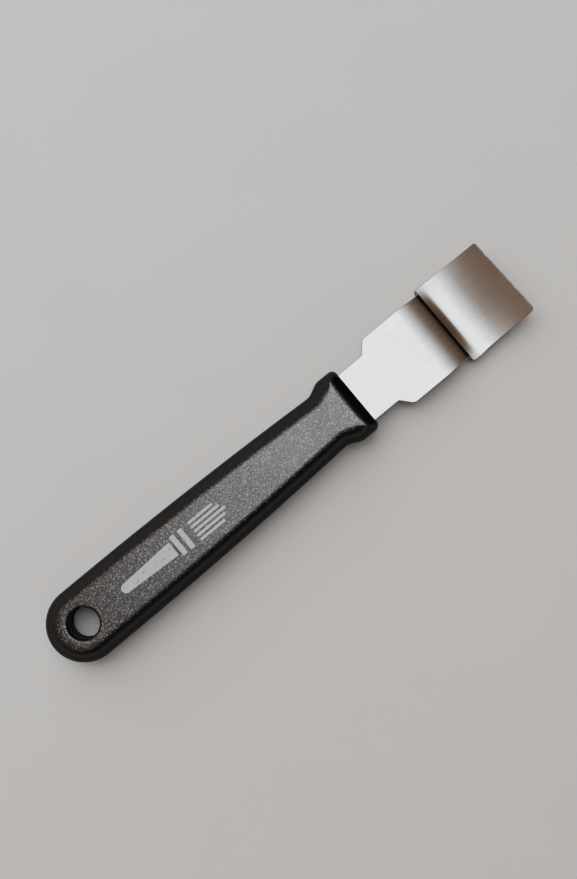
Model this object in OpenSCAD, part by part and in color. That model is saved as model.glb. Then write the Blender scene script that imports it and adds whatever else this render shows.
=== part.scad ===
// Painter's multi tool: a moulded handle on a stepped steel blade.
// The tool lies along +X with the blade at the +X end and +Z up.
// The origin is the centre of the hang hole, on the mid plane of the handle and of the sheet.

/* [Handle] */
// Thickness of the handle, bottom face to top face
handle_t = 11.5; // [10.8:0.1:14]
// Radius of the butt, seen from above
butt_r = 11.7; // [10.5:0.1:13]
// Distance from the centre of the butt's arc to the hang hole
hole_inset = 0.7; // [0:0.1:2]
// Half width of the handle at its waist
waist_half_w = 9.4; // [8.5:0.1:10.5]
// Half width of the guard in front of the waist
guard_half_w = 11.45; // [10.8:0.05:13]
// Where the sides start to taper
taper_x = 8; // [0:1:20]
// Where the waist is
waist_x = 95; // [90:0.5:97]
// Where the guard reaches its full width
guard_x = 101; // [99.5:0.5:102]
// Front face of the guard
front_x = 107; // [106:0.5:110]
// Radius of the long rounded edges
edge_r = 5; // [3:0.1:5.2]
// Radius of the guard's two front corners, seen from above
guard_corner_r = 2; // [1:0.1:3]

/* [Hang hole] */
// Radius of the bore
hole_r = 4.8; // [3.5:0.1:5.5]
// Rounding of both rims of the bore
hole_rim = 0.8; // [0.2:0.1:1.2]

/* [Blade] */
// Thickness of the steel sheet
sheet_t = 1.5; // [1:0.1:2]
// Width of the neck that leaves the guard
neck_w = 17.8; // [16:0.1:19]
// Width of the blade's body
body_w = 25.4; // [23:0.1:27]
// Width of the tip plate
tip_w = 28.3; // [26:0.1:30]
// Where the neck's shoulders start
shoulder_x = 116.2; // [113:0.1:118]
// Where the body reaches its full width
body_x = 120.1; // [119.5:0.1:123]
// Where the sheet starts to curve down
crest_x = 132; // [126:0.5:134]
// Where the wide tip plate starts
plate_x = 141.9; // [141.2:0.1:143]
// Far edge of the tip plate on the axis
tip_x = 166.3; // [160:0.1:166.5]
// How much further the far edge reaches on one side than on the axis
tip_skew = 0.5; // [0:0.1:1]

/* [Tang] */
// Width of the tang inside the handle
tang_w = 10.5; // [8:0.5:11]
// Where the buried end of the tang is
tang_end_x = 40; // [30:1:60]
// Radius of the holes that the moulding flows through
anchor_r = 2.25; // [1.5:0.25:3]

/* [Printed mark] */
// Thickness of the printed ink
ink_t = 0.05; // [0.03:0.01:0.2]
// Where the pictogram of a brush starts
mark_x = 15; // [14:1:40]

/* [Hidden] */
$fn = 64;
eps = 0.01;
half_t = handle_t / 2;
butt_x = -hole_inset;
span = 400;

// Steps in each quarter of a rounded edge, and stations along the sides and the flare
edge_steps = 8;
side_steps = 9;
flare_steps = 8;

// The sheet's path seen from the side: each stretch has a length and the angle it turns through
crest_len = 8.3;
crest_turn = -14;
step_len = 1.1;
step_turn = -46;
riser_len = 0.2;
valley_len = 1;
valley_turn = 56;
plate_len = 12;
plate_turn = 14;
tip_len = 14.8;
tip_turn = 9;
stretch_steps = 10;

// The sheet narrows where it is stretched over the crest and bulges where it is pressed in the valley
crest_nip = 0.3;
valley_bulge = 0.3;
bulge_x = plate_x + 2.6;
bulge_end_x = plate_x + 6;

function arc(c, r, from, to, n = 8) =
    [for (i = [0:n]) let (a = from + (to - from) * i / n) c + r * [cos(a), sin(a)]];

function smooth(s) = s * s * (3 - 2 * s);

function mirror_y(points) = [for (i = [len(points) - 1:-1:0]) [points[i][0], -points[i][1]]];

// Half width of the handle at x: straight, then a slow taper, then the flare into the guard
function half_w(x) =
    x < taper_x ? butt_r :
    x < waist_x ? butt_r - (butt_r - waist_half_w) * pow((x - taper_x) / (waist_x - taper_x), 2) :
    x < guard_x ? waist_half_w + (guard_half_w - waist_half_w) * smooth((x - waist_x) / (guard_x - waist_x)) :
    guard_half_w;

// One cross section of the handle, a rectangle with large rounded corners
function section(x) =
    let (cy = half_w(x) - edge_r, cz = half_t - edge_r)
    [for (p = concat(
        arc([cy, cz], edge_r, 0, 90, edge_steps),
        arc([-cy, cz], edge_r, 90, 180, edge_steps),
        arc([-cy, -cz], edge_r, 180, 270, edge_steps),
        arc([cy, -cz], edge_r, 270, 360, edge_steps))) [x, p[0], p[1]]];

module loft(stations) {
    rings = [for (x = stations) section(x)];
    n = len(rings[0]);
    last = len(rings) - 1;
    polyhedron(
        points = [for (ring = rings) each ring],
        faces = concat(
            [[for (j = [0:n - 1]) j]],
            [for (i = [0:last - 1], j = [0:n - 1])
                [i * n + j, (i + 1) * n + j, (i + 1) * n + (j + 1) % n, i * n + (j + 1) % n]],
            [[for (j = [n - 1:-1:0]) last * n + j]]));
}

// A round disc with the same rounded edge as the cross sections, for the butt
module butt_disc() {
    half_section = concat([[0, -half_t]],
        arc([butt_r - edge_r, -half_t + edge_r], edge_r, -90, 0, edge_steps),
        arc([butt_r - edge_r, half_t - edge_r], edge_r, 0, 90, edge_steps),
        [[0, half_t]]);
    rotate_extrude() polygon(half_section);
}

// The guard's front: rounded corners seen from above, and a rounded nose seen from the side
module guard_nose() {
    cx = front_x - guard_corner_r;
    cy = guard_half_w - guard_corner_r;
    plan = concat([[-span, -span], [cx, -span]],
        arc([cx, -cy], guard_corner_r, -90, 0), arc([cx, cy], guard_corner_r, 0, 90),
        [[cx, span], [-span, span]]);
    nose = concat([[-span, -handle_t], [front_x - edge_r, -handle_t]],
        arc([front_x - edge_r, -half_t + edge_r], edge_r, -90, 0),
        arc([front_x - edge_r, half_t - edge_r], edge_r, 0, 90),
        [[front_x - edge_r, handle_t], [-span, handle_t]]);
    intersection() {
        linear_extrude(span, center = true) polygon(plan);
        rotate([90, 0, 0]) linear_extrude(span, center = true) polygon(nose);
    }
}

// A straight bore with rounded rims
module hang_hole() {
    cylinder(h = handle_t + 2, r = hole_r, center = true);
    for (side = [0, 1]) mirror([0, 0, side]) rim_cut();
}

module rim_cut() {
    translate([0, 0, half_t - hole_rim])
        rotate_extrude()
            difference() {
                square([hole_r + hole_rim, hole_rim + 1]);
                translate([hole_r + hole_rim, 0]) circle(hole_rim);
            }
}

// Outline of the buried tang, cut with the holes that lock it in the moulding
module tang_plan() {
    end_r = tang_w / 2;
    difference() {
        union() {
            translate([tang_end_x + end_r, 0]) circle(end_r);
            translate([tang_end_x + end_r, -end_r]) square([guard_x + 1 - tang_end_x - end_r, tang_w]);
            translate([guard_x + 1, -neck_w / 2]) square([shoulder_x - guard_x, neck_w]);
        }
        for (x = [tang_end_x + 8, tang_end_x + 26, tang_end_x + 44]) translate([x, 0]) circle(anchor_r);
    }
}

module handle() {
    side_x = [for (i = [0:side_steps]) taper_x + (waist_x - taper_x) * i / side_steps];
    flare_x = [for (i = [0:flare_steps]) waist_x + (guard_x - waist_x) * i / flare_steps];
    color([0.07, 0.07, 0.08])
    difference() {
        intersection() {
            union() {
                hull() {
                    translate([butt_x, 0, 0]) butt_disc();
                    loft(side_x);
                }
                loft(concat(flare_x, [front_x + 2]));
            }
            guard_nose();
        }
        hang_hole();
        linear_extrude(sheet_t, center = true) tang_plan();
    }
}

// The blade's outline from above, from inside the guard to the far edge
module blade_plan() {
    neck_y = neck_w / 2;
    body_y = body_w / 2;
    tip_y = tip_w / 2;
    near_r = 1.1;
    side_y = tip_y + valley_bulge;
    shoulder_side = [
        [guard_x + 1, neck_y], [shoulder_x - 0.4, neck_y], [shoulder_x + 0.5, neck_y + 0.35],
        [body_x - 0.7, body_y - 0.5], [body_x + 0.3, body_y], [crest_x, body_y],
        [plate_x - 1.2, body_y - crest_nip], [plate_x - 0.2, body_y - crest_nip + 0.1]];
    near_corner = concat(arc([plate_x + near_r, side_y - near_r], near_r, 180, 90, 5),
        [[bulge_x, side_y], [bulge_end_x, tip_y]]);
    polygon(concat(shoulder_side, near_corner,
        arc([tip_x - tip_skew - 0.6, tip_y - 0.7], 0.6, 90, 0, 4),
        arc([tip_x + tip_skew - 1.6, -tip_y + 1.7], 1.6, 0, -90, 6),
        mirror_y(concat(shoulder_side, near_corner))));
}

// Points along one stretch: [x, z, heading], starting from the last point of the list before it
function walk(p, stretch) =
    let (step = stretch[0] / stretch_steps, turn = stretch[1] / stretch_steps)
    [for (i = [0:stretch_steps]) let (
        a = p[2] + turn * i,
        chord = turn == 0 ? stretch[0] * i / stretch_steps : 0,
        r = turn == 0 ? 0 : step / (turn * PI / 180))
        turn == 0 ? [p[0] + chord * cos(a), p[1] + chord * sin(a), a] :
        [p[0] + r * (sin(a) - sin(p[2])), p[1] - r * (cos(a) - cos(p[2])), a]];

function path(start, stretches, k = 0) =
    k == len(stretches) ? [] :
    let (points = walk(start, stretches[k]))
    concat([for (i = [1:stretch_steps]) points[i]], path(points[stretch_steps], stretches, k + 1));

// The sheet seen from the side, half its thickness above and below the path
module blade_profile() {
    start = [crest_x, 0, 0];
    line = concat([[guard_x - span, 0, 0], start], path(start, [
        [crest_len, crest_turn], [step_len, step_turn], [riser_len, 0],
        [valley_len, valley_turn], [plate_len, plate_turn], [tip_len, tip_turn]]));
    n = len(line) - 1;
    top = [for (p = line) [p[0] - sin(p[2]) * sheet_t / 2, p[1] + cos(p[2]) * sheet_t / 2]];
    bottom = [for (i = [n:-1:0]) let (p = line[i])
        [p[0] + sin(p[2]) * sheet_t / 2, p[1] - cos(p[2]) * sheet_t / 2]];
    polygon(concat(top, bottom));
}

module blade() {
    color([0.75, 0.76, 0.77])
    intersection() {
        union() {
            linear_extrude(span, center = true) blade_plan();
            linear_extrude(span, center = true) tang_plan();
        }
        rotate([90, 0, 0]) linear_extrude(span, center = true) blade_profile();
    }
}

// A plain pictogram of a flat paint brush, printed on the handle's top face
module printed_mark() {
    grip_len = 20;
    grip_r = 1.5;
    band_w = 1.6;
    band_h = 7;
    hair_h = 0.8;
    hair_gap = 1.55;
    hair_x = mark_x + grip_len + 8;
    color([0.85, 0.86, 0.86])
    translate([0, 0, half_t])
    linear_extrude(ink_t) {
        translate([mark_x + grip_r, 0]) circle(grip_r);
        polygon([[mark_x + grip_r, grip_r], [mark_x + grip_r, -grip_r],
            [mark_x + grip_len, -2.4], [mark_x + grip_len, 2.4]]);
        for (i = [0:1]) translate([mark_x + grip_len + 1 + i * 3, -band_h / 2]) square([band_w, band_h]);
        for (i = [-2:2]) translate([hair_x, i * hair_gap - hair_h / 2]) square([12 - abs(i) * 1.3, hair_h]);
    }
}

handle();
blade();
printed_mark();
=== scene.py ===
import math
import bmesh
import bpy
from mathutils import Matrix, Vector


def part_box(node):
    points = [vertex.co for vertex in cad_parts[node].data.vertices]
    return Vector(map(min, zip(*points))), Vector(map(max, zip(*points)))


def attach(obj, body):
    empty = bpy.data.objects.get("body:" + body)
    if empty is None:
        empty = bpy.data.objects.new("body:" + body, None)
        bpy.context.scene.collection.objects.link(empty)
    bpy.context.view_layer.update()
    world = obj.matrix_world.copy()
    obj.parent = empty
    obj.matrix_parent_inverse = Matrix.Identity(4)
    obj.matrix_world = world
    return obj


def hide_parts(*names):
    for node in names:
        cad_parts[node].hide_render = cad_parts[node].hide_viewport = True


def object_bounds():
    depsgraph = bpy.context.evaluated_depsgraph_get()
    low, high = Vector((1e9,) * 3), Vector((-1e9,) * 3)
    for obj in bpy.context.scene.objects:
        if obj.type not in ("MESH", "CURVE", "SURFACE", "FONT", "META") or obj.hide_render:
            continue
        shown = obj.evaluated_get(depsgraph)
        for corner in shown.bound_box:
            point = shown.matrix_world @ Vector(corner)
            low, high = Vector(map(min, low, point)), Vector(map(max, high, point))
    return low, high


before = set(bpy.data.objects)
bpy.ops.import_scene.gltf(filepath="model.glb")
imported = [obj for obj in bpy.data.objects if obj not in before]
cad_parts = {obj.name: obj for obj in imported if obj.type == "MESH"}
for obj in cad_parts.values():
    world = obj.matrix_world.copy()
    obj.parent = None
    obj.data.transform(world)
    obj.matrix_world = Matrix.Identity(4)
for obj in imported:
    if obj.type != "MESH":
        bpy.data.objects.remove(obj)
cadLow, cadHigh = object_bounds()
mm = 0.001


def smooth(t):
    t = min(1.0, max(0.0, t))
    return t * t * (3.0 - 2.0 * t)


# replaces each sharp corner (x, y, radius) of an outline by an arc
def roundCorners(corners, steps=7):
    points = []
    for i, (x, y, radius) in enumerate(corners):
        corner = Vector((x, y))
        before = (Vector(corners[i - 1][:2]) - corner).normalized()
        after = (Vector(corners[(i + 1) % len(corners)][:2]) - corner).normalized()
        if radius == 0:
            points.append(corner)
            continue
        half = before.angle(after) / 2
        centre = corner + (before + after).normalized() * radius / math.sin(half)
        start = corner + before * radius / math.tan(half) - centre
        end = corner + after * radius / math.tan(half) - centre
        for k in range(steps + 1):
            blend = start.lerp(end, k / steps).normalized()
            turn = start.angle(end)
            mix = (start * math.sin(turn * (1 - k / steps)) + end * math.sin(turn * k / steps))
            points.append(centre + (mix.normalized() if turn > 1e-4 else blend) * radius)
    return points


def finishMesh(bm, name, material, node):
    bmesh.ops.remove_doubles(bm, verts=bm.verts, dist=1e-6)
    bmesh.ops.dissolve_degenerate(bm, edges=bm.edges, dist=1e-7)
    bmesh.ops.recalc_face_normals(bm, faces=bm.faces)
    for face in bm.faces:
        face.smooth = True
    mesh = bpy.data.meshes.new(name)
    bm.to_mesh(mesh)
    bm.free()
    mesh.materials.append(material)
    piece = bpy.data.objects.new(name, mesh)
    bpy.context.scene.collection.objects.link(piece)
    flats = piece.modifiers.new("flatNormals", "WEIGHTED_NORMAL")
    flats.mode = "FACE_AREA"
    flats.keep_sharp = True
    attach(piece, "root")
    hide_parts(node)
    return piece


def newMaterial(name, base, roughness, metallic=0.0):
    material = bpy.data.materials.new(name)
    material.use_nodes = True
    shader = material.node_tree.nodes["Principled BSDF"]
    shader.inputs["Base Color"].default_value = (*base, 1)
    shader.inputs["Roughness"].default_value = roughness
    shader.inputs["Metallic"].default_value = metallic
    return material, material.node_tree, shader


def addNode(tree, kind, values=None, **settings):
    node = tree.nodes.new(kind)
    for key, value in settings.items():
        setattr(node, key, value)
    for key, value in (values or {}).items():
        node.inputs[key].default_value = value
    return node


def noise(tree, coordinate, scale, detail=2.0, stretch=(1, 1, 1)):
    mapping = addNode(tree, "ShaderNodeMapping", {"Scale": stretch})
    texture = addNode(tree, "ShaderNodeTexNoise", {"Scale": scale, "Detail": detail})
    tree.links.new(coordinate, mapping.inputs["Vector"])
    tree.links.new(mapping.outputs["Vector"], texture.inputs["Vector"])
    return texture.outputs["Fac"]


def remap(tree, value, fromLow, fromHigh, toLow, toHigh):
    node = addNode(tree, "ShaderNodeMapRange", {
        "From Min": fromLow, "From Max": fromHigh, "To Min": toLow, "To Max": toHigh})
    tree.links.new(value, node.inputs["Value"])
    return node.outputs["Result"]


def math2(tree, operation, a, b):
    node = addNode(tree, "ShaderNodeMath", operation=operation)
    for socket, value in zip(node.inputs, (a, b)):
        if isinstance(value, (int, float)):
            socket.default_value = value
        else:
            tree.links.new(value, socket)
    return node.outputs["Value"]


def mixColor(tree, factor, a, b):
    node = addNode(tree, "ShaderNodeMix", data_type="RGBA")
    tree.links.new(factor, node.inputs["Factor"])
    for key, value in (("A", a), ("B", b)):
        socket = [s for s in node.inputs if s.name == key and s.type == "RGBA"][0]
        if isinstance(value, tuple):
            socket.default_value = (*value, 1)
        else:
            tree.links.new(value, socket)
    return [s for s in node.outputs if s.type == "RGBA"][0]


def bump(tree, height, strength, distance, normal=None):
    node = addNode(tree, "ShaderNodeBump", {"Strength": strength, "Distance": distance})
    tree.links.new(height, node.inputs["Height"])
    if normal:
        tree.links.new(normal, node.inputs["Normal"])
    return node.outputs["Normal"]


def newGroup(name, inputs, outputs):
    group = bpy.data.node_groups.new(name, "ShaderNodeTree")
    for label, kind, value in inputs:
        socket = group.interface.new_socket(name=label, in_out="INPUT", socket_type=kind)
        if value is not None:
            socket.default_value = value
    for label, kind in outputs:
        group.interface.new_socket(name=label, in_out="OUTPUT", socket_type=kind)
    return group, group.nodes.new("NodeGroupInput"), group.nodes.new("NodeGroupOutput")


def useGroup(tree, group, values):
    node = addNode(tree, "ShaderNodeGroup", node_tree=group)
    for key, value in values.items():
        if isinstance(value, (int, float)):
            node.inputs[key].default_value = value
        else:
            tree.links.new(value, node.inputs[key])
    return node


# fine pits left by a spark-eroded mould
def makeGrainGroup():
    group, ins, outs = newGroup("mouldGrain",
        [("Vector", "NodeSocketVector", None), ("Size", "NodeSocketFloat", 0.0004)],
        [("Height", "NodeSocketFloat"), ("Peaks", "NodeSocketFloat")])
    scale = math2(group, "DIVIDE", 1.0, ins.outputs["Size"])
    fine = addNode(group, "ShaderNodeTexNoise", {"Detail": 3.0, "Roughness": 0.6})
    cells = addNode(group, "ShaderNodeTexVoronoi", feature="SMOOTH_F1")
    for texture in (fine, cells):
        group.links.new(ins.outputs["Vector"], texture.inputs["Vector"])
        group.links.new(scale, texture.inputs["Scale"])
    height = math2(group, "ADD", fine.outputs["Fac"],
                   math2(group, "MULTIPLY", cells.outputs["Distance"], 0.6))
    group.links.new(height, outs.inputs["Height"])
    group.links.new(remap(group, height, 0.75, 1.05, 0.0, 1.0), outs.inputs["Peaks"])
    return group


# sparse specks of lint and dust
def makeDustGroup():
    group, ins, outs = newGroup("looseDust",
        [("Vector", "NodeSocketVector", None), ("Size", "NodeSocketFloat", 0.004),
         ("Amount", "NodeSocketFloat", 0.1)],
        [("Mask", "NodeSocketFloat")])
    scale = math2(group, "DIVIDE", 1.0, ins.outputs["Size"])
    cells = addNode(group, "ShaderNodeTexVoronoi", {"Randomness": 1.0})
    group.links.new(ins.outputs["Vector"], cells.inputs["Vector"])
    group.links.new(scale, cells.inputs["Scale"])
    near = remap(group, cells.outputs["Distance"], 0.02, 0.07, 1.0, 0.0)
    pick = addNode(group, "ShaderNodeSeparateColor")
    group.links.new(cells.outputs["Color"], pick.inputs["Color"])
    chosen = math2(group, "LESS_THAN", pick.outputs["Red"], ins.outputs["Amount"])
    group.links.new(math2(group, "MULTIPLY", near, chosen), outs.inputs["Mask"])
    return group


grainGroup = makeGrainGroup()
dustGroup = makeDustGroup()


plasticLook = {
    # faces that look squarely up or down get lighter grey grain peaks, a painted sheen standing
    # in for the overhead light the flat faces catch, and the same mask puts the coat on them
    "paintedSheenFacing": (0.95, 0.998), "paintedSheenOnSides": 0.05,  # how squarely a face looks up or down
    "polish": (0.40, 1.0), "polishRoughness": 0.30, "polishIor": 2.0,
    "dustSize": 0.005, "dustAmount": 0.16, "dustTone": 0.7,
    # the lighter grey is the painted sheen colour for the grain peaks on the flat faces
    "deep": (0.0045, 0.005, 0.006), "wearAndSheen": (0.25, 0.253, 0.258), "dust": (0.30, 0.30, 0.29),
    "grainSize": 0.00042, "grainDepth": 0.00004, "roughness": (0.17, 0.25), "specular": 1.0,
}


def makePlastic():
    material, tree, shader = newMaterial("handlePlastic", plasticLook["deep"], 0.32)
    shader.inputs["Specular IOR Level"].default_value = plasticLook["specular"]
    where = addNode(tree, "ShaderNodeTexCoord").outputs["Object"]
    grain = useGroup(tree, grainGroup, {"Vector": where, "Size": plasticLook["grainSize"]})
    dust = useGroup(tree, dustGroup, {"Vector": where, "Size": plasticLook["dustSize"],
                                      "Amount": plasticLook["dustAmount"]})
    cloud = noise(tree, where, 90.0, 4.0)
    split = addNode(tree, "ShaderNodeSeparateXYZ")
    tree.links.new(addNode(tree, "ShaderNodeTexCoord").outputs["Normal"], split.inputs["Vector"])
    facing = math2(tree, "ABSOLUTE", split.outputs["Z"], 0.0)
    # painted sheen: grain peaks on faces looking up or down are painted the lighter grey,
    # standing in for the light the flats reflect, and the sides keep almost none of it
    paintedSheenMask = remap(tree, facing, *plasticLook["paintedSheenFacing"], plasticLook["paintedSheenOnSides"], 1.0)
    sheenSpeckle = math2(tree, "MULTIPLY", grain.outputs["Peaks"], paintedSheenMask)
    tone = mixColor(tree, sheenSpeckle, plasticLook["deep"], plasticLook["wearAndSheen"])
    polish = remap(tree, grain.outputs["Peaks"], 0.0, 1.0, *plasticLook["polish"])
    tree.links.new(math2(tree, "MULTIPLY", polish, paintedSheenMask), shader.inputs["Coat Weight"])
    shader.inputs["Coat Roughness"].default_value = plasticLook["polishRoughness"]
    shader.inputs["Coat IOR"].default_value = plasticLook["polishIor"]
    tone = mixColor(tree, math2(tree, "MULTIPLY", dust.outputs["Mask"], plasticLook["dustTone"]),
                    tone, plasticLook["dust"])
    tree.links.new(tone, shader.inputs["Base Color"])
    low, high = plasticLook["roughness"]
    tree.links.new(remap(tree, cloud, 0.3, 0.7, low, high), shader.inputs["Roughness"])
    wave = bump(tree, noise(tree, where, 160.0, 2.0), 0.25, 0.0002)
    tree.links.new(bump(tree, grain.outputs["Height"], 0.9, plasticLook["grainDepth"], wave),
                   shader.inputs["Normal"])
    return material


steelLook = {
    "bright": (0.66, 0.655, 0.645), "dull": (0.56, 0.55, 0.535), "roughness": (0.08, 0.14),
    "streak": (40, 2200, 2200), "streakDepth": 0.0000015,
}


def makeSteel():
    material, tree, shader = newMaterial("bladeSteel", steelLook["bright"], 0.18, 1.0)
    where = addNode(tree, "ShaderNodeTexCoord").outputs["Object"]
    streak = noise(tree, where, 1.0, 5.0, steelLook["streak"])
    cloud = noise(tree, where, 140.0, 3.0)
    dust = useGroup(tree, dustGroup, {"Vector": where, "Size": 0.006, "Amount": 0.12})
    mixed = math2(tree, "ADD", math2(tree, "MULTIPLY", streak, 0.6),
                  math2(tree, "MULTIPLY", cloud, 0.4))
    tone = mixColor(tree, remap(tree, mixed, 0.35, 0.65, 0.0, 1.0), steelLook["bright"],
                    steelLook["dull"])
    tree.links.new(mixColor(tree, math2(tree, "MULTIPLY", dust.outputs["Mask"], 0.5), tone,
                            (0.4, 0.39, 0.37)), shader.inputs["Base Color"])
    low, high = steelLook["roughness"]
    tree.links.new(remap(tree, mixed, 0.35, 0.65, low, high), shader.inputs["Roughness"])
    ripple = bump(tree, noise(tree, where, 60.0, 1.0), 0.3, 0.00002)
    tree.links.new(bump(tree, streak, 0.5, steelLook["streakDepth"], ripple),
                   shader.inputs["Normal"])
    return material


inkLook = {"ink": (0.62, 0.63, 0.635), "gap": (0.03, 0.031, 0.033)}


def makeInk():
    material, tree, shader = newMaterial("printInk", inkLook["ink"], 0.45)
    where = addNode(tree, "ShaderNodeTexCoord").outputs["Object"]
    grain = useGroup(tree, grainGroup, {"Vector": where, "Size": plasticLook["grainSize"]})
    wearAndSheen = noise(tree, where, 700.0, 3.0)
    missing = math2(tree, "MULTIPLY", remap(tree, wearAndSheen, 0.60, 0.74, 0.0, 1.0),
                    remap(tree, grain.outputs["Height"], 0.7, 0.95, 1.0, 0.2))
    tree.links.new(mixColor(tree, missing, inkLook["ink"], inkLook["gap"]),
                   shader.inputs["Base Color"])
    tree.links.new(bump(tree, grain.outputs["Height"], 0.7, plasticLook["grainDepth"]),
                   shader.inputs["Normal"])
    return material


floorLook = {
    "low": (0.80, 0.80, 0.79), "high": (0.84, 0.84, 0.83), "bounced": (0.24, 0.24, 0.24),
}


# paler to the eye than in the light it throws back
def makeFloorPaint():
    material, tree, shader = newMaterial("paleFloor", floorLook["low"], 0.7)
    where = addNode(tree, "ShaderNodeTexCoord").outputs["Object"]
    cloud = noise(tree, where, 40.0, 4.0)
    seen = mixColor(tree, cloud, floorLook["low"], floorLook["high"])
    direct = addNode(tree, "ShaderNodeLightPath").outputs["Is Camera Ray"]
    tree.links.new(mixColor(tree, direct, floorLook["bounced"], seen),
                   shader.inputs["Base Color"])
    return material


handlePlastic = makePlastic()
bladeSteel = makeSteel()
printInk = makeInk()
print("materials made")


handleSpec = {
    "buttCentreX": -0.7, "taperX": 8.0, "waistX": 95.0, "waistHalfW": 9.4, "guardX": 101.0,
    "guardHalfW": 11.45, "guardCornerR": 2.0, "edgeR": 5.0, "buttEdge": 5.5,
    "hornX": 102.7, "hornY": 8.0, "hornPower": 2.4, "hornBow": 0.6,
    "holeR": 4.8, "holeRim": 0.8, "edgeSteps": 14, "sideSteps": 70, "flareSteps": 40,
    "buttSteps": 40, "cornerSteps": 12, "frontSteps": 16, "rimSteps": 6, "holeSteps": 64,
    "partingDepth": 0.05, "partingHalf": 0.09,
}


# pairs of points: the outline at mid height, and where its rounded edge meets the flat face
def handleColumns(spec, buttR, frontX):
    columns = []
    for i in range(spec["buttSteps"] + 1):
        angle = math.pi - math.pi / 2 * i / spec["buttSteps"]
        ray = Vector((math.cos(angle), math.sin(angle)))
        edge = spec["edgeR"] + (spec["buttEdge"] - spec["edgeR"]) * math.cos(angle) ** 2
        centre = Vector((spec["buttCentreX"], 0))
        columns.append((centre + ray * buttR, centre + ray * (buttR - edge)))

    def halfW(x):
        if x < spec["taperX"]:
            return buttR
        if x < spec["waistX"]:
            run = (x - spec["taperX"]) / (spec["waistX"] - spec["taperX"])
            return buttR - (buttR - spec["waistHalfW"]) * run ** 2
        run = (x - spec["waistX"]) / (spec["guardX"] - spec["waistX"])
        return spec["waistHalfW"] + (spec["guardHalfW"] - spec["waistHalfW"]) * smooth(run)

    flatWaist = spec["waistHalfW"] - spec["edgeR"]
    for i in range(1, spec["sideSteps"] + 1):
        x = spec["buttCentreX"] + (spec["waistX"] - spec["buttCentreX"]) * i / spec["sideSteps"]
        columns.append((Vector((x, halfW(x))), Vector((x, halfW(x) - spec["edgeR"]))))
    cornerX = frontX - spec["guardCornerR"]
    for i in range(1, spec["flareSteps"] + 1):
        run = i / spec["flareSteps"]
        x = spec["waistX"] + (cornerX - spec["waistX"]) * run
        flatX = spec["waistX"] + (spec["hornX"] - spec["waistX"]) * run
        flatY = flatWaist + (spec["hornY"] - flatWaist) * run ** spec["hornPower"]
        columns.append((Vector((x, halfW(x))), Vector((flatX, flatY))))
    horn = Vector((spec["hornX"], spec["hornY"]))
    cornerY = spec["guardHalfW"] - spec["guardCornerR"]
    for i in range(1, spec["cornerSteps"] + 1):
        angle = math.pi / 2 * (1 - i / spec["cornerSteps"])
        ray = Vector((math.cos(angle), math.sin(angle))) * spec["guardCornerR"]
        columns.append((Vector((cornerX, cornerY)) + ray, horn))
    for i in range(1, spec["frontSteps"] + 1):
        share = 1 - i / spec["frontSteps"]
        columns.append((Vector((frontX, cornerY * share)),
                        Vector((spec["hornX"] - spec["hornBow"] * (1 - share ** 2),
                                spec["hornY"] * share))))
    return columns


def makeHandle(spec):
    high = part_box("handle")[1]
    buttR, halfT, frontX = high.y / mm, high.z / mm, high.x / mm
    columns = handleColumns(spec, buttR, frontX)
    land = halfT - spec["edgeR"]
    levels = [(0.0, 0.0, spec["partingDepth"]), (spec["partingHalf"], 0.0, 0.0)]
    levels += [(land + spec["edgeR"] * math.sin(math.pi / 2 * k / spec["edgeSteps"]),
                1 - math.cos(math.pi / 2 * k / spec["edgeSteps"]), 0.0)
               for k in range(spec["edgeSteps"] + 1)]
    bm = bmesh.new()

    def place(outer, flat, height, share, groove):
        inward = (flat - outer).normalized() * groove
        point = outer.lerp(flat, share) + inward
        return Vector((point.x, point.y, height)) * mm

    row = [bm.verts.new(place(*column, *levels[0])) for column in columns]
    edges = [bm.edges.new(pair) for pair in zip(row, row[1:])]
    for level in levels[1:]:
        made = bmesh.ops.extrude_edge_only(bm, edges=edges)["geom"]
        edges = [e for e in made if isinstance(e, bmesh.types.BMEdge)]
        verts = orderedVerts(edges)
        if (verts[0].co - row[0].co).length > (verts[-1].co - row[0].co).length:
            verts.reverse()
        for vert, column in zip(verts, columns):
            vert.co = place(*column, *level)
        row = verts
    # the hang hole's quarter: rounded rim, then the wall with a small ridge at the parting line
    rimR, wallR = spec["holeR"] + spec["holeRim"], spec["holeR"]
    quarter = [(rimR, halfT)]
    for k in range(1, spec["rimSteps"] + 1):
        angle = math.pi / 2 * k / spec["rimSteps"]
        quarter.append((rimR - spec["holeRim"] * math.sin(angle),
                        halfT - spec["holeRim"] * (1 - math.cos(angle))))
    quarter += [(wallR - 0.02, 0.35), (wallR - 0.1, 0.1), (wallR - 0.1, 0.0)]
    arm = [bm.verts.new(Vector((radius, 0, height)) * mm) for radius, height in quarter]
    armEdges = [bm.edges.new(pair) for pair in zip(arm, arm[1:])]
    bmesh.ops.spin(bm, geom=arm + armEdges, axis=(0, 0, 1), cent=(0, 0, 0), angle=math.pi,
                   steps=spec["holeSteps"], dvec=(0, 0, 0), use_merge=False)
    fillTop(bm, halfT * mm)
    everything = bm.verts[:] + bm.edges[:] + bm.faces[:]
    bmesh.ops.mirror(bm, geom=everything, axis="Y", merge_dist=1e-6)
    everything = bm.verts[:] + bm.edges[:] + bm.faces[:]
    bmesh.ops.mirror(bm, geom=everything, axis="Z", merge_dist=1e-6)
    return finishMesh(bm, "handleMould", handlePlastic, "handle")


# the vertices of an open chain of edges, in order
def orderedVerts(edges):
    links = {}
    for edge in edges:
        for vert in edge.verts:
            links.setdefault(vert, []).append(edge)
    vert = [v for v, es in links.items() if len(es) == 1][0]
    chain, seen = [vert], set()
    while True:
        nextEdges = [e for e in links[vert] if e not in seen]
        if not nextEdges:
            return chain
        seen.add(nextEdges[0])
        vert = nextEdges[0].other_vert(vert)
        chain.append(vert)


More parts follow.
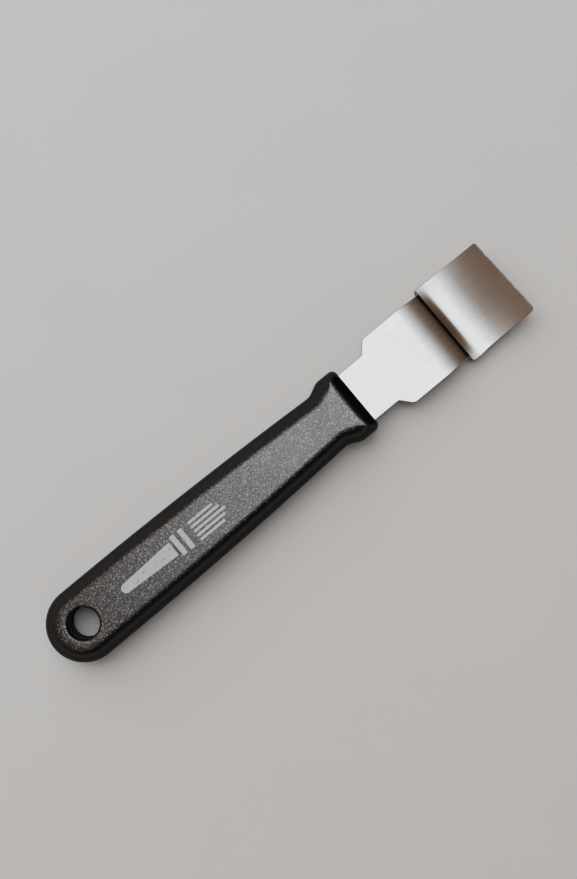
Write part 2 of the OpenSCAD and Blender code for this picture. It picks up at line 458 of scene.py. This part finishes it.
# fills half of the flat face, between the rounded edge, the hole's rim and the centre line
def fillTop(bm, height):
    bmesh.ops.remove_doubles(bm, verts=bm.verts, dist=1e-6)
    onTop = [e for e in bm.edges
             if len(e.link_faces) == 1 and all(abs(v.co.z - height) < 1e-7 for v in e.verts)]
    ends = [v for e in onTop for v in e.verts if abs(v.co.y) < 1e-7]
    ends = sorted(set(ends), key=lambda v: v.co.x)
    closing = [bm.edges.new((ends[0], ends[1])), bm.edges.new((ends[-2], ends[-1]))]
    bmesh.ops.triangle_fill(bm, use_beauty=True, edges=onTop + closing)


handle = makeHandle(handleSpec)
print("handle made", len(handle.data.polygons), "faces")


bladeSpec = {
    "insideX": 103.0, "neckHalfW": 8.9, "bodyHalfW": 12.7, "tipHalfW": 14.15,
    "shoulderX": 116.4, "bodyX": 119.7, "crestX": 132.4, "plateX": 142.2, "tipSkew": 0.5,
    "nip": 0.3, "nearEdgeY": (14.1, 14.44), "middleEdgeY": (13.95, 14.15),
    "farEdgeY": (13.6, 14.15), "farBack": 0.18, "farCornerR": (0.6, 1.5),
    "nearCornerR": (0.8, 1.3), "sheetT": 1.5, "edgeR": 0.16, "soften": 0.3,
    "dish": 0.58, "dishX": 141.5, "dishRun": 4.2, "dishFade": 0.45, "fadeRun": 18,
    "flatGap": 1.5, "bendGap": 0.5, "stepGap": 0.12, "acrossGap": 1.16,  # spacing of the cuts
    "bends": [(8.3, -14), (1.1, -46), (0.2, 0), (1.0, 56), (12.0, 14), (14.8, 9)],
}


# where the sheet's mid plane is at each distance along it, from the list of bends
class SheetPath:
    def __init__(self, startX, bends, soften, step=0.02):
        self.step, self.startX = step, startX
        headings, base = [], 0.0
        for length, turn in bends:
            count = round(length / step)
            headings += [base + turn * (k + 0.5) / count for k in range(count)]
            base += turn
        half = round(soften / step / 2)
        padded = [0.0] * half + headings + [headings[-1]] * half
        total, sums = 0.0, [0.0]
        for heading in padded:
            total += heading
            sums.append(total)
        x, z = startX, 0.0
        self.rows = [(x, z, 0.0)]
        for k in range(len(headings)):
            heading = math.radians((sums[k + 2 * half] - sums[k]) / (2 * half))
            x += step * math.cos(heading)
            z += step * math.sin(heading)
            self.rows.append((x, z, heading))

    def at(self, along):
        if along <= self.startX:
            return along, 0.0, 0.0
        place = min((along - self.startX) / self.step, len(self.rows) - 1.001)
        k = int(place)
        a, b = self.rows[k], self.rows[k + 1]
        return tuple(p + (q - p) * (place - k) for p, q in zip(a, b))

    def alongAt(self, x):
        if x <= self.startX:
            return x
        for k, row in enumerate(self.rows[1:]):
            if row[0] >= x:
                before = self.rows[k][0]
                return self.startX + (k + (x - before) / (row[0] - before)) * self.step
        return self.startX + len(self.rows) * self.step


def bladeOutline(spec, tipX):
    neck, body, plate = spec["neckHalfW"], spec["bodyHalfW"], spec["plateX"]
    sides = []
    for near, middle, cornerR in zip(spec["nearEdgeY"], spec["middleEdgeY"],
                                     spec["nearCornerR"]):
        sides.append([
            (spec["insideX"], neck, 0), (spec["shoulderX"], neck, 0.9),
            (spec["bodyX"], body, 2.2), (spec["crestX"] + 2, body, 14),
            (plate - 0.35, body - spec["nip"], 0.35), (plate, near, cornerR),
            (plate + 3.0, near, 4), (plate + 6.5, middle, 8)])
    farX, (leftY, rightY) = tipX - spec["farBack"], spec["farEdgeY"]
    leftR, rightR = spec["farCornerR"]
    far = [(farX - 2 * spec["tipSkew"], leftY, leftR), (farX, -rightY, rightR)]
    return roundCorners(sides[0] + far + [(x, -y, r) for x, y, r in reversed(sides[1])])


def makeBlade(spec):
    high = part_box("blade")[1]
    thick = spec["sheetT"]
    path = SheetPath(spec["crestX"], spec["bends"], spec["soften"])
    outline = [Vector((path.alongAt(p.x), p.y, -thick / 2))
               for p in bladeOutline(spec, high.x / mm)]
    bm = bmesh.new()
    cap = bm.faces.new([bm.verts.new(p) for p in outline])
    lifted = bmesh.ops.extrude_face_region(bm, geom=[cap])["geom"]
    bmesh.ops.translate(bm, vec=(0, 0, thick),
                        verts=[g for g in lifted if isinstance(g, bmesh.types.BMVert)])
    bmesh.ops.recalc_face_normals(bm, faces=bm.faces)
    rims = [e for e in bm.edges if abs(e.verts[0].co.z - e.verts[1].co.z) < 1e-6]
    bmesh.ops.bevel(bm, geom=rims, offset=spec["edgeR"], offset_type="OFFSET", segments=3,
                    profile=0.5, affect="EDGES", clamp_overlap=True, material=-1)
    first, last = outline[0].x, max(p.x for p in outline)
    cuts, along = [], first + spec["flatGap"]
    near = path.alongAt(spec["plateX"]) - 1.2
    while along < last - 0.2:
        cuts.append(along)
        gap = spec["flatGap"] if along < spec["crestX"] else spec["bendGap"]
        along += spec["stepGap"] if near - 0.8 < along < near + 4.0 else gap
    for along in cuts:
        bmesh.ops.bisect_plane(bm, geom=bm.verts[:] + bm.edges[:] + bm.faces[:],
                               plane_co=(along, 0, 0), plane_no=(1, 0, 0), dist=1e-5)
    for k in range(-11, 12):
        bmesh.ops.bisect_plane(bm, geom=bm.verts[:] + bm.edges[:] + bm.faces[:],
                               plane_co=(0, k * spec["acrossGap"], 0),
                               plane_no=(0, 1, 0), dist=1e-5)
    bm.normal_update()
    for edge in bm.edges:  # the flats keep their own shading, apart from the rims
        slopes = [0 if abs(f.normal.z) < 0.01 else 2 if abs(f.normal.z) > 0.99 else 1
                  for f in edge.link_faces]
        edge.smooth = len(set(slopes)) == 1
    dishStart = path.alongAt(spec["dishX"])
    for vert in bm.verts:
        along, across, up = vert.co
        x, z, heading = path.at(along)
        deep = spec["dish"] * smooth((along - dishStart) / spec["dishRun"])
        beyond = (along - dishStart - spec["dishRun"]) / spec["fadeRun"]
        deep *= 1 - spec["dishFade"] * smooth(beyond)
        up += deep * ((across / spec["tipHalfW"]) ** 2 - 1)
        vert.co = Vector((x - math.sin(heading) * up, across,
                          z + math.cos(heading) * up)) * mm
    return finishMesh(bm, "bladeSheet", bladeSteel, "blade")


blade = makeBlade(bladeSpec)
print("blade made", len(blade.data.polygons), "faces")


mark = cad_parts["printed_mark"]
mark.data.materials[0] = printInk
print("mark inked")


stageSpec = {
    "floorSize": 6.0, "turn": 39.72, "tilt": 3.0, "distance": 0.380,
    "aim": (0.0057, 0.0037), "lens": 50.0, "sensor": 36.0,
}


def makeFloor(spec):
    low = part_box("handle")[0]
    bm = bmesh.new()
    bmesh.ops.create_grid(bm, x_segments=4, y_segments=4, size=spec["floorSize"] / 2)
    bmesh.ops.translate(bm, vec=(0, 0, low.z - 0.00001), verts=bm.verts)
    mesh = bpy.data.meshes.new("floor")
    bm.to_mesh(mesh)
    bm.free()
    mesh.materials.append(makeFloorPaint())
    floor = bpy.data.objects.new("floor", mesh)
    bpy.context.scene.collection.objects.link(floor)


# turns a direction of the room (right, up the table, up) into the tool's own frame
def fromRoom(direction, turn):
    return Matrix.Rotation(-math.radians(turn), 3, "Z") @ Vector(direction)


def makeCamera(spec):
    aim = Vector(((cadLow.x + cadHigh.x) / 2 + spec["aim"][0], spec["aim"][1], cadLow.z))
    tilt = math.radians(spec["tilt"])
    back = fromRoom((0, -math.sin(tilt), math.cos(tilt)), spec["turn"])
    up = fromRoom((0, math.cos(tilt), math.sin(tilt)), spec["turn"])
    right = up.cross(back)
    data = bpy.data.cameras.new("camera")
    data.lens, data.sensor_width = spec["lens"], spec["sensor"]
    data.clip_start, data.clip_end = 0.01, 20
    camera = bpy.data.objects.new("camera", data)
    camera.matrix_world = Matrix.Translation(aim + back * spec["distance"]) @ Matrix(
        (right, up, back)).transposed().to_4x4()
    bpy.context.scene.collection.objects.link(camera)
    bpy.context.scene.camera = camera
    return aim


def makeCard(name, place, size, power, color, aim, turn):
    data = bpy.data.lights.new(name, "AREA")
    data.shape, data.size, data.size_y = "RECTANGLE", size[0], size[1]
    data.energy, data.color = power, color
    card = bpy.data.objects.new(name, data)
    where = aim + fromRoom(place, turn)
    facing = (where - aim).normalized()
    side = fromRoom((1, 0, 0), turn)
    side = (side - facing * side.dot(facing)).normalized()
    card.matrix_world = Matrix.Translation(where) @ Matrix(
        (side, facing.cross(side), facing)).transposed().to_4x4()
    card.visible_glossy = False
    bpy.context.scene.collection.objects.link(card)


roomSpec = {
    "key": (0.084, 0.109, 0.99), "keyCore": (0.04, 0.12), "keyEdge": (0.46, 0.42),
    "keyShift": (0.0, 0.05),
    "keyFall": 2.6, "keyColor": (0.91, 0.965, 1.0), "keyPower": 3.1,
    "lightSide": (-0.70, 0.62, 0.35), "lightSpan": (-0.05, 0.85),
    "shade": (0.095, 0.068, 0.050), "glow": (0.42, 0.31, 0.245),
    "horizon": (0.32, 0.32, 0.32), "horizonSpan": (0.42, 0.72), "backdrop": (0.50, 0.50, 0.49),
    "darkSide": (0.98, 0.0, 0.2), "darkSpan": (0.70, 0.98), "dark": (0.02, 0.018, 0.016),
}


# a soft white panel overhead, warm walls round it, grey near the horizon and dark past the tip
def makeRoom(spec, turn):
    world = bpy.data.worlds.new("room")
    world.use_nodes = True
    tree = world.node_tree
    back = tree.nodes["Background"]
    look = addNode(tree, "ShaderNodeTexCoord").outputs["Generated"]
    key = fromRoom(spec["key"], turn).normalized()
    along = (Vector((1, 0, 0)) - key * key.x).normalized()
    across = key.cross(along)

    def part(direction):
        node = addNode(tree, "ShaderNodeVectorMath", {1: direction}, operation="DOT_PRODUCT")
        tree.links.new(look, node.inputs[0])
        return node.outputs["Value"]

    # distance from the panel's core, as a share of the way to its soft edge
    offsets = []
    for axis, shift, core, edge in zip((along, across), spec["keyShift"], spec["keyCore"],
                                       spec["keyEdge"]):
        offset = math2(tree, "SUBTRACT", part(axis), shift)
        beyond = math2(tree, "SUBTRACT", math2(tree, "ABSOLUTE", offset, 0.0), core)
        share = remap(tree, beyond, 0.0, edge - core, 0.0, 1.0)
        offsets.append(math2(tree, "POWER", share, 2.0))
    radius = math2(tree, "SQRT", math2(tree, "ADD", *offsets), 0.0)
    panel = math2(tree, "POWER", remap(tree, radius, 0.0, 1.0, 1.0, 0.0), spec["keyFall"])
    above = math2(tree, "GREATER_THAN", part(key), 0.0)
    glow = remap(tree, part(fromRoom(spec["lightSide"], turn)), *spec["lightSpan"], 0.0, 1.0)
    wall = mixColor(tree, glow, spec["shade"], spec["glow"])
    low = remap(tree, part(Vector((0, 0, 1))), *spec["horizonSpan"], 1.0, 0.0)
    wall = mixColor(tree, low, wall, spec["horizon"])
    beyondTip = remap(tree, part(Vector(spec["darkSide"])), *spec["darkSpan"], 0.0, 1.0)
    wall = mixColor(tree, beyondTip, wall, spec["dark"])
    bright = tuple(c * spec["keyPower"] for c in spec["keyColor"])
    lit = math2(tree, "MULTIPLY", panel, above)
    direct = addNode(tree, "ShaderNodeLightPath").outputs["Is Camera Ray"]
    room = mixColor(tree, lit, wall, bright)
    tree.links.new(mixColor(tree, direct, room, spec["backdrop"]), back.inputs["Color"])
    bpy.context.scene.world = world


makeFloor(stageSpec)
aimPoint = makeCamera(stageSpec)
makeCard("fill", (-0.42, 0.52, 0.55), (1.2, 1.2), 8.0, (1.0, 0.985, 0.97), aimPoint,
         stageSpec["turn"])
makeRoom(roomSpec, stageSpec["turn"])
bpy.context.scene.view_settings.look = "AgX - Medium High Contrast"
print("stage set")
